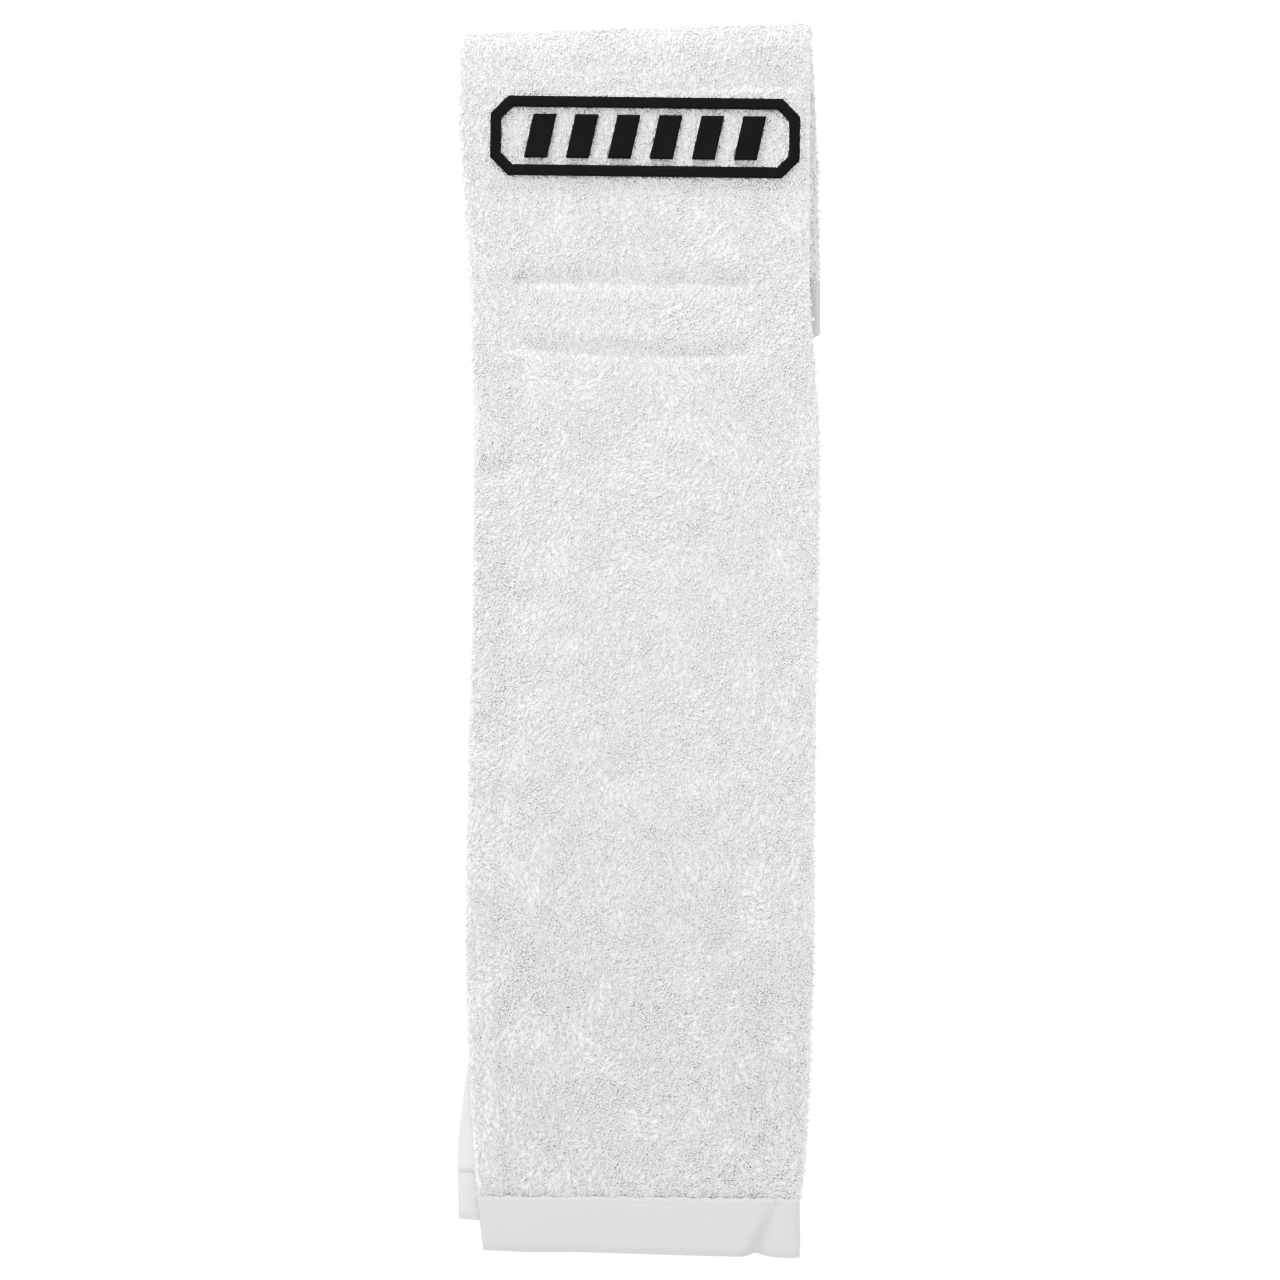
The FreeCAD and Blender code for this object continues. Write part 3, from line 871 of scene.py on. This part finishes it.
def stitches(name, routes, surface, side, node, material, wobble=0.12, longer=1.3):
    """A line of stitches for each route of points in (x, s), laid where surface says the cloth's face is."""
    trim = settings("trim")
    random = np.random.default_rng(5)
    middles, forward = [], []
    for route in routes:
        route = np.array(route, float)
        run = np.concatenate([[0], np.cumsum(np.linalg.norm(np.diff(route, axis=0), axis=-1))])
        count = max(1, int(run[-1] / trim.stitch))
        at = (np.arange(count) + 0.5) * run[-1] / count
        ends = []
        for shift in (-0.4, 0.4):
            where = at + shift * trim.stitch
            x, s = np.interp(where, run, route[:, 0]), np.interp(where, run, route[:, 1])
            ends.append(on_path(x, surface(x, s), s, side))
        middles.append((ends[0] + ends[1]) / 2)
        forward.append(ends[1] - ends[0])
    middle, forward = np.concatenate(middles), np.concatenate(forward)
    forward /= np.linalg.norm(forward, axis=-1, keepdims=True)
    forward += random.normal(0, wobble * 0.4, forward.shape)
    forward /= np.linalg.norm(forward, axis=-1, keepdims=True)
    out = np.array([0.0, side, 0.0])
    beside = np.cross(forward, out)
    beside /= np.linalg.norm(beside, axis=-1, keepdims=True)
    axes = np.stack([beside, np.cross(forward, beside), forward], axis=1)
    scales = np.ones((len(middle), 3))
    scales[:, 2] = random.uniform(0.9, 1.1, len(middle)) * longer
    piece = copies(name, stitch_pattern(), middle, axes, scales, np.full(len(middle), 1.0), material)
    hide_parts(node)
    return piece


def level(n):
    """A flat face for stitches."""
    return lambda x, s: n + 0 * x


def outer_face(relief, lift):
    """The outer face of the front leaf or the flap, for stitches that lie a little above it."""
    return lambda x, s: OUTER_N + settings("cloth").thickness / 2 + relief(x, s) + lift


# ---------------------------------------------------------------- operators

def side_seam(edge, node, count):
    """The route of the stitches along a side hem, as high as the node."""
    low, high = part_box(node)
    heights = np.linspace(low.z, high.z, count)
    return [list(zip(side_hem_line(edge, heights) - SIDE_SEAM_IN, heights))]


class TOWEL_OT_stage(bpy.types.Operator):
    """Set the camera, the soft light and the pale floor"""
    bl_idname = "towel.stage"
    bl_label = "Stage"

    def execute(self, context):
        stage = settings("stage")
        scene = context.scene
        self.tone(scene)
        camera_data = bpy.data.cameras.new("camera")
        camera_data.lens = stage.lens
        camera = bpy.data.objects.new("camera", camera_data)
        camera.location = (0, -PILE_FACE_N - stage.camera_distance, stage.camera_height)
        camera.rotation_euler = (math.pi / 2, 0, 0)
        scene.collection.objects.link(camera)
        scene.camera = camera
        self.sky(scene, stage)
        self.light(scene, stage.key_power, *KEY)
        self.light(scene, stage.fill_power, *FILL)
        self.light(scene, stage.fill_power, *REAR)
        self.floor(stage)
        return {"FINISHED"}

    def tone(self, scene):
        """A high-key tone: white stays white, black stays black, and the light greys draw together."""
        view = scene.view_settings
        view.view_transform = "Standard"
        view.use_curve_mapping = True
        curve = view.curve_mapping.curves[3]
        for light, shown in TONE:
            curve.points.new(light, shown)
        view.curve_mapping.update()

    def sky(self, scene, stage):
        """Light from all round, a little stronger from the upper left, whose sky looks white itself."""
        world = bpy.data.worlds.new("white_sky")
        world.use_nodes = True
        scene.world = world
        shader = Shader(world.node_tree)
        seen = shader.value("ShaderNodeLightPath")
        towards = shader.node("ShaderNodeTexCoord").outputs["Generated"]
        height = shader.value("ShaderNodeVectorMath", {"operation": "DOT_PRODUCT"},
                              {0: towards, 1: BRIGHT_SKY}, output=1)
        light = height * (stage.sky * stage.sky_slope) + stage.sky
        strength = seen * (1 - light) + light
        sky = shader.node("ShaderNodeBackground", {}, {"Color": (1, 1, 1, 1), "Strength": strength})
        shader.node("ShaderNodeOutputWorld", {}, {"Surface": sky.outputs[0]})

    def light(self, scene, power, name, size, place):
        """A square soft light that faces the upper part of the towel."""
        light = bpy.data.lights.new(name, "AREA")
        light.energy, light.size = power, size
        lamp = bpy.data.objects.new(name, light)
        lamp.location = place
        across, ahead, up = np.array(LIT_PLACE) - np.array(place)
        lamp.rotation_euler = (math.atan2(math.hypot(across, ahead), -up), 0, -math.atan2(across, ahead))
        scene.collection.objects.link(lamp)

    def floor(self, stage):
        """A round pale floor that fades out towards its rim."""
        bpy.ops.object.select_all(action="DESELECT")
        bpy.ops.mesh.primitive_circle_add(vertices=96, radius=FLOOR_REACH, fill_type="NGON",
                                          location=(0, 0, stage.floor_height))
        floor = bpy.context.object
        floor.name = "floor"
        material = bpy.data.materials.new("pale_floor")
        material.use_nodes = True
        shader = Shader(material.node_tree)
        place = shader.node("ShaderNodeTexCoord").outputs["Object"]
        away = shader.value("ShaderNodeVectorMath", {"operation": "LENGTH"}, {0: place}, output=1)
        fade = shader.value("ShaderNodeMapRange", {"interpolation_type": "SMOOTHSTEP"},
                            {"Value": away, "From Min": FLOOR_REACH * 0.35,
                             "From Max": FLOOR_REACH * 0.98})
        grey = (FLOOR_GREY, FLOOR_GREY, FLOOR_GREY, 1)
        solid = shader.node("ShaderNodeBsdfDiffuse", {}, {"Color": grey})
        clear = shader.node("ShaderNodeBsdfTransparent")
        both = shader.node("ShaderNodeMixShader", {}, {0: fade, 1: solid.outputs[0], 2: clear.outputs[0]})
        shader.node("ShaderNodeOutputMaterial", {}, {"Surface": both.outputs[0]})
        floor.data.materials.append(material)


class TOWEL_OT_front_leaf(bpy.types.Operator):
    """Make the front leaf with its pile, up to the top of the turn over the belt"""
    bl_idname = "towel.front_leaf"
    bl_label = "Front Leaf"

    def execute(self, context):
        pile = settings("pile")
        grid = front_grid()
        cloth = cloth_piece("front_cloth", grid, 1, terry_ground("front_ground_weave", FRONT_SHARE))
        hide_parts("front_leaf", "front_side_hem", "crown_outer_leaf")
        pieces = pile_pieces("front_pile", grid, 1, 3, numbered_bands(FRONT_BANDS), front_pile_height,
                             front_combed, pile.pitch, pile.row_pitch, front_painted_shade)
        for piece in pieces[:-1]:
            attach(piece, "front_stack")
        for piece in (cloth, pieces[-1]):
            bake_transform(piece)
        return {"FINISHED"}


class TOWEL_OT_flap(bpy.types.Operator):
    """Make the flap's two leaves with their pile, down from the top of the turn over the belt"""
    bl_idname = "towel.flap"
    bl_label = "Flap"

    def execute(self, context):
        pile = settings("pile")
        self.leaf("flap_outer", flap_grid(OUTER_N, flap_relief), -1, 5, flap_pile_height, pile.rear_pitch,
                  OUTER_N, ("flap_outer_leaf", "flap_outer_side_hem"))
        self.leaf("flap_inner", flap_grid(INNER_N, rear_relief), 1, 6, pressed_by("hook_tape"),
                  pile.hidden_pitch, GAP_N, ("flap_inner_leaf", "flap_inner_side_hem"))
        return {"FINISHED"}

    def leaf(self, name, grid, outward, seed, height_of, pitch, turn_n, nodes):
        cloth = cloth_piece(name + "_cloth", grid, outward, bare_ground())
        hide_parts(*nodes)
        lower, upper = pile_pieces(name + "_pile", grid, outward, seed, two_bands(FLAP_SPLIT), height_of,
                                   combed_at_turn, pitch, pitch)
        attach(lower, "flap")
        for piece in (cloth, upper):
            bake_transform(piece)


class TOWEL_OT_rear_leaf(bpy.types.Operator):
    """Make the rear leaf: the part held by the tape's stitches, and the part below it"""
    bl_idname = "towel.rear_leaf"
    bl_label = "Rear Leaf"

    def execute(self, context):
        pile = settings("pile")
        grid = rear_grid(PAGE_TOP, TOP_OF_TURN, 66)
        cloth = cloth_piece("rear_upper_cloth", grid, -1, bare_ground())
        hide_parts("rear_leaf_upper", "rear_upper_side_hem", "crown_inner_leaf")
        lower, upper = pile_pieces("rear_upper_pile", grid, -1, 8, two_bands(REAR_UPPER_SPLIT),
                                   pressed_by("loop_tape"), combed_at_turn, pile.rear_pitch,
                                   pile.rear_pitch)
        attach(lower, "front_stack")
        for piece in (cloth, upper):
            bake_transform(piece)

        grid = slope_foot(rear_grid(REAR_FOOT, PAGE_TOP, 150), REAR_FOOT)
        cloth = cloth_piece("rear_lower_cloth", grid, -1, bare_ground())
        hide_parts("rear_leaf_lower", "rear_lower_side_hem")
        pieces = pile_pieces("rear_lower_pile", grid, -1, 9, numbered_bands(REAR_BANDS),
                             rear_lower_pile_height, combed_at_turn, pile.rear_pitch, pile.rear_pitch)
        for piece in [cloth, *pieces]:
            page(piece)
        return {"FINISHED"}


def page(piece):
    """Bakes the piece's transform into its mesh; it gets no body to ride on."""
    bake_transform(piece)


class TOWEL_OT_hems(bpy.types.Operator):
    """Fold the flat-woven hems at the feet of the leaves"""
    bl_idname = "towel.hems"
    bl_label = "Hems"

    def execute(self, context):
        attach(self.front(), "front_stack")
        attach(self.rear(), "rear_leaf")
        for piece in self.flap():
            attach(piece, "flap")
        return {"FINISHED"}

    def front(self):
        low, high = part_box("front_bottom_hem")
        x = np.linspace(-63.8 * MM, 62.6 * MM, 180)[None, :]
        top = np.full_like(x, high.z + 0.4 * MM) - 1.0 * MM * (x + 62 * MM) / (124 * MM)
        foot = low.z - 0.5 * MM - 1.44 * MM * x / (62 * MM)

        def shift(x_rows, s, n, weight):
            slant = ease(1 - (x_rows - x_rows.min()) / (26 * MM))
            x_new = x_rows + 2.4 * MM * slant * weight
            buckle = x_rows - (BUCKLE_X - 8.5 * MM * weight)
            fall, rise = (1.5 + 4.5 * weight) * MM, (3.0 + 6.0 * weight) * MM
            fold = ease(1 + buckle / fall) * ease(1 - buckle / rise)
            s_new = s + weight * (0.9 * MM * np.exp(-(buckle / (3 * MM)) ** 2)
                                  + 0.35 * MM * hills(x_rows, 0 * s, 23 * MM, 51))
            s_new = s_new + 0.4 * MM * (1 - weight) ** 4 * hills(x_rows, 0 * s, 2.6 * MM, 56)
            n_new = n - 4.0 * MM * fold * (0.15 + 0.85 * weight)
            n_new = n_new - 1.5 * MM * ease(1 + (x_rows - x_rows.max()) / (2.6 * MM))
            return x_new, s_new, n_new + 0.3 * MM * weight * hills(x_rows, s, 15 * MM, 52)

        grid = band_grid(x, top, foot, OUTER_N + 1.1 * MM, OUTER_N - 0.9 * MM, 0.3 * MM, -1, shift)
        return hem_band("front_hem_band", grid, 1, "front_bottom_hem")

    def rear(self):
        low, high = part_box("rear_bottom_hem")
        x = np.linspace(-71.4 * MM, 62.6 * MM, 90)[None, :]
        across = (x + 71.5 * MM) / (135 * MM)
        top = high.z + 1 * MM - 11 * MM * across
        foot = low.z + 12 * MM - 11 * MM * across

        def shift(x_rows, s, n, weight):
            wave = 0.25 * MM * weight * hills(x_rows, s, 18 * MM, 53)
            return x_rows + 0.4 * MM * weight, s, n + wave - rear_hem_push(x_rows, s)

        grid = band_grid(x, top, foot, INNER_N + 0.75 * MM, INNER_N - 0.9 * MM, 0.2 * MM, -1, shift)
        # A lighter copy of the flat weave: painted light on the rear hem, which the front leaf shades.
        weave = flat_weave("rear_woven_hem", REAR_HEM_LIGHT_SHARE)
        return hem_band("rear_hem_band", grid, 1, "rear_bottom_hem", weave)

    def flap(self):
        def shift(x_rows, s, n, weight):
            wave = 0.25 * MM * weight * hills(x_rows, s, 20 * MM, 54)
            from_end = x_rows.max() - np.abs(x_rows)
            rounded = 2 * MM * weight * ease(1 - from_end / (4 * MM))
            return x_rows, s + rounded + 0.3 * MM * weight * hills(x_rows, 0 * s, 25 * MM, 55), n + wave

        made = []
        for name, node, face_n, back_n in (
                ("flap_outer_end_band", "flap_outer_end_hem", CREASE_N + 2.3 * MM, CREASE_N + 0.2 * MM),
                ("flap_inner_end_band", "flap_inner_end_hem", CREASE_N - 0.2 * MM, CREASE_N - 2.1 * MM)):
            low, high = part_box(node)
            left, right = edge_at(FLAP_LEFT, high.z) + 0.6 * MM, edge_at(FLAP_RIGHT, high.z) + 0.6 * MM
            x = np.linspace(left, right, 70)[None, :]
            top = np.full_like(x, high.z + 1 * MM)
            foot = np.full_like(x, low.z)
            grid = band_grid(x, top, foot, face_n, back_n, 0.15 * MM, 1, shift)
            made.append(hem_band(name, grid, -1, node))
        return made


class TOWEL_OT_threads(bpy.types.Operator):
    """Sew the hems, the side hems, the boxes of the two tapes and the tack"""
    bl_idname = "towel.threads"
    bl_label = "Threads"

    def execute(self, context):
        seam, fall = FRONT_FOOT - 0.9 * MM, 1 * MM
        self.sew("front_hem_stitches", [[(-62.8 * MM, seam), (61.6 * MM, seam - fall)]],
                 level(OUTER_N + 1.1 * MM), -1, "front_hem_thread", "front_stack")
        self.sew("front_side_stitches", side_seam(FRONT_LEFT, "front_side_thread", 60),
                 outer_face(front_relief, 0.3 * MM), -1, "front_side_thread", "front_stack")
        self.sew("loop_tape_box_stitches", self.loop_tape_box(), outer_face(front_relief, 0 * MM), -1,
                 "loop_tape_stitch", "front_stack")
        low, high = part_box("hook_tape_stitch")
        ring = [(low.x, high.z), (high.x, high.z), (high.x, low.z), (low.x, low.z)]
        self.sew("hook_tape_box_stitches", list(zip(ring, ring[1:] + ring[:1])), level(CREASE_N + 2.5 * MM),
                 1, "hook_tape_stitch", "flap")
        low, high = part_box("flap_hem_thread")
        self.sew("flap_hem_stitches", [[(low.x, low.z - 1 * MM), (high.x, low.z - 1 * MM)]],
                 level(CREASE_N + 2.45 * MM), 1, "flap_hem_thread", "flap")
        self.sew("flap_side_stitches", side_seam(FLAP_LEFT, "flap_side_thread", 30),
                 outer_face(flap_relief, 0.3 * MM), 1, "flap_side_thread", "flap")
        self.rear_threads()
        self.tack()
        return {"FINISHED"}

    def loop_tape_box(self):
        """The four sides of the loop tape's stitches, whose foot line sags."""
        corners = np.array(BOX_CORNERS) * MM
        along = np.linspace(0, 1, 30)[:, None]
        foot_line = corners[2] + (corners[3] - corners[2]) * along
        foot_line[:, 1] -= BOX_SAG * np.sin(math.pi * along[:, 0])
        return [[corners[0], corners[1]], [corners[1], corners[2]], foot_line, [corners[3], corners[0]]]

    def sew(self, name, routes, surface, side, node, body=None):
        """White stitches, which ride on the body, or else stay in place with their transform baked in."""
        piece = stitches(name, routes, surface, side, node, white_thread())
        if body:
            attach(piece, body)
        else:
            page(piece)

    def rear_threads(self):
        low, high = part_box("rear_hem_thread")
        self.sew("rear_hem_stitches", [[(low.x, high.z - 2.5 * MM), (high.x, low.z - 2 * MM)]],
                 lambda x, s: INNER_N - 0.95 * MM - rear_hem_push(x, s), -1, "rear_hem_thread", "rear_leaf")
        face_n = INNER_N - settings("cloth").thickness / 2 - 0.3 * MM
        self.sew("rear_side_stitches", side_seam(REAR_LEFT, "rear_lower_side_thread", 60),
                 lambda x, s: face_n - rear_relief(x, s), -1, "rear_lower_side_thread")

    def tack(self):
        low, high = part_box("tack_stitch")
        piece = stitches("loose_tack", [[(low.x, high.z), (high.x, high.z)]], level(PILE_FACE_N + 0.6 * MM),
                         -1, "tack_stitch", grey_thread(), wobble=0.1, longer=3.4)
        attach(piece, "front_stack")


class TOWEL_OT_tapes(bpy.types.Operator):
    """Weave the loop tape behind the front stack and the hook tape on the flap"""
    bl_idname = "towel.tapes"
    bl_label = "Tapes"

    def execute(self, context):
        self.tape("loop_tape", 1, "loop_tape_nylon", "front_stack", self.fluff(), 1.25 * MM)
        self.tape("hook_tape", -1, "hook_tape_nylon", "flap", self.hook(), 1.5 * MM)
        return {"FINISHED"}

    def tape(self, node, facing, slot, body, pattern, pitch):
        """A woven strip with bound edges, and rows of one small shape on the face that it shows."""
        low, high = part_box(node)
        back, face = (low.y, high.y) if facing > 0 else (high.y, low.y)
        base = abs(face - back) * 0.4
        bpy.ops.object.select_all(action="DESELECT")
        bpy.ops.mesh.primitive_cube_add(size=1, location=((low.x + high.x) / 2, back + facing * base / 2,
                                                          (low.z + high.z) / 2))
        strip = bpy.context.object
        strip.scale = (high.x - low.x, base, high.z - low.z)
        bpy.ops.object.transform_apply(location=True, scale=True)
        strip.name = node + "_weave"
        bpy.ops.object.mode_set(mode="EDIT")
        bpy.ops.mesh.select_all(action="SELECT")
        bpy.ops.mesh.subdivide(number_cuts=5)
        bpy.ops.object.mode_set(mode="OBJECT")
        apply_modifier(strip, "BEVEL", width=0.3 * MM, segments=2)
        strip.data.materials.append(tape_weave())
        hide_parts(node)
        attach(strip, body)
        margin = 2.2 * MM
        random = np.random.default_rng(71)
        x, z = np.meshgrid(np.arange(low.x + margin, high.x - margin, pitch),
                           np.arange(low.z + margin, high.z - margin, pitch))
        x, z = x.ravel(), z.ravel()
        count = len(x)
        x, z = x + random.uniform(-0.2, 0.2, count) * pitch, z + random.uniform(-0.2, 0.2, count) * pitch
        place = np.stack([x, np.full(count, back + facing * base * 0.95), z], axis=-1)
        turn = random.uniform(-1, 1, count) * (math.pi if facing > 0 else 0.35)
        tall = np.tile([0.0, facing, 0.0], (count, 1))
        chord = np.stack([np.cos(turn), 0 * turn, np.sin(turn)], axis=-1)
        axes = np.stack([chord, np.cross(tall, chord), tall], axis=1)
        reach = abs(face - back) - base
        scales = np.ones((count, 3))
        scales[:, 2] = reach / pattern[0][:, 2].max() * random.uniform(0.85, 1.0, count)
        piece = copies(node + ("_fluff" if facing > 0 else "_hooks"), pattern, place, axes, scales,
                       random.uniform(0.8, 1, count), tape_weave())
        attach(piece, body)

    def fluff(self):
        points, faces = loop_pattern()
        return points * np.array([0.9, 0.45, 0.5]), faces

    def hook(self):
        """One nylon hook: most of an arch, bent over so that its tip hangs free."""
        points, faces = loop_pattern()
        points = points * np.array([0.8, 0.5, 0.5])
        tip = points[:, 0] < -0.05 * MM
        points[tip, 2] += 0.55 * MM * (1 - points[tip, 2] / points[:, 2].max())
        return points, faces


class TOWEL_OT_badge(bpy.types.Operator):
    """Give the moulded badge its matt rubber"""
    bl_idname = "towel.badge"
    bl_label = "Badge"

    def execute(self, context):
        for node in ("badge_frame", "badge_bars"):
            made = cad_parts[node]
            made.data.materials.clear()
            made.data.materials.append(badge_rubber())
        return {"FINISHED"}


class TOWEL_PT_panel(bpy.types.Panel):
    """Shows the towel's operators and settings"""
    bl_idname = "TOWEL_PT_panel"
    bl_label = "Sports Towel"
    bl_space_type = "VIEW_3D"
    bl_region_type = "UI"
    bl_category = "Towel"

    def draw(self, context):
        for operator in OPERATORS:
            self.layout.operator(operator.bl_idname)
        for name in GROUPS:
            group = settings(name)
            for key in group.__annotations__:
                self.layout.prop(group, key)


GROUPS = {"cloth": ClothSettings, "pile": PileSettings, "trim": TrimSettings, "stage": StageSettings}
OPERATORS = (TOWEL_OT_stage, TOWEL_OT_front_leaf, TOWEL_OT_rear_leaf, TOWEL_OT_flap, TOWEL_OT_hems,
             TOWEL_OT_threads, TOWEL_OT_tapes, TOWEL_OT_badge)


def register():
    for group in GROUPS.values():
        bpy.utils.register_class(group)
    for operator in OPERATORS:
        bpy.utils.register_class(operator)
    bpy.utils.register_class(TOWEL_PT_panel)
    for name, group in GROUPS.items():
        setattr(bpy.types.Scene, "towel_" + name, PointerProperty(type=group))


def unregister():
    for name in GROUPS:
        delattr(bpy.types.Scene, "towel_" + name)
    for made in (TOWEL_PT_panel, *OPERATORS, *GROUPS.values()):
        bpy.utils.unregister_class(made)


def main():
    register()
    for operator in OPERATORS:
        group, name = operator.bl_idname.split(".")
        getattr(getattr(bpy.ops, group), name)()
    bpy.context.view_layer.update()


if __name__ == "__main__":
    main()
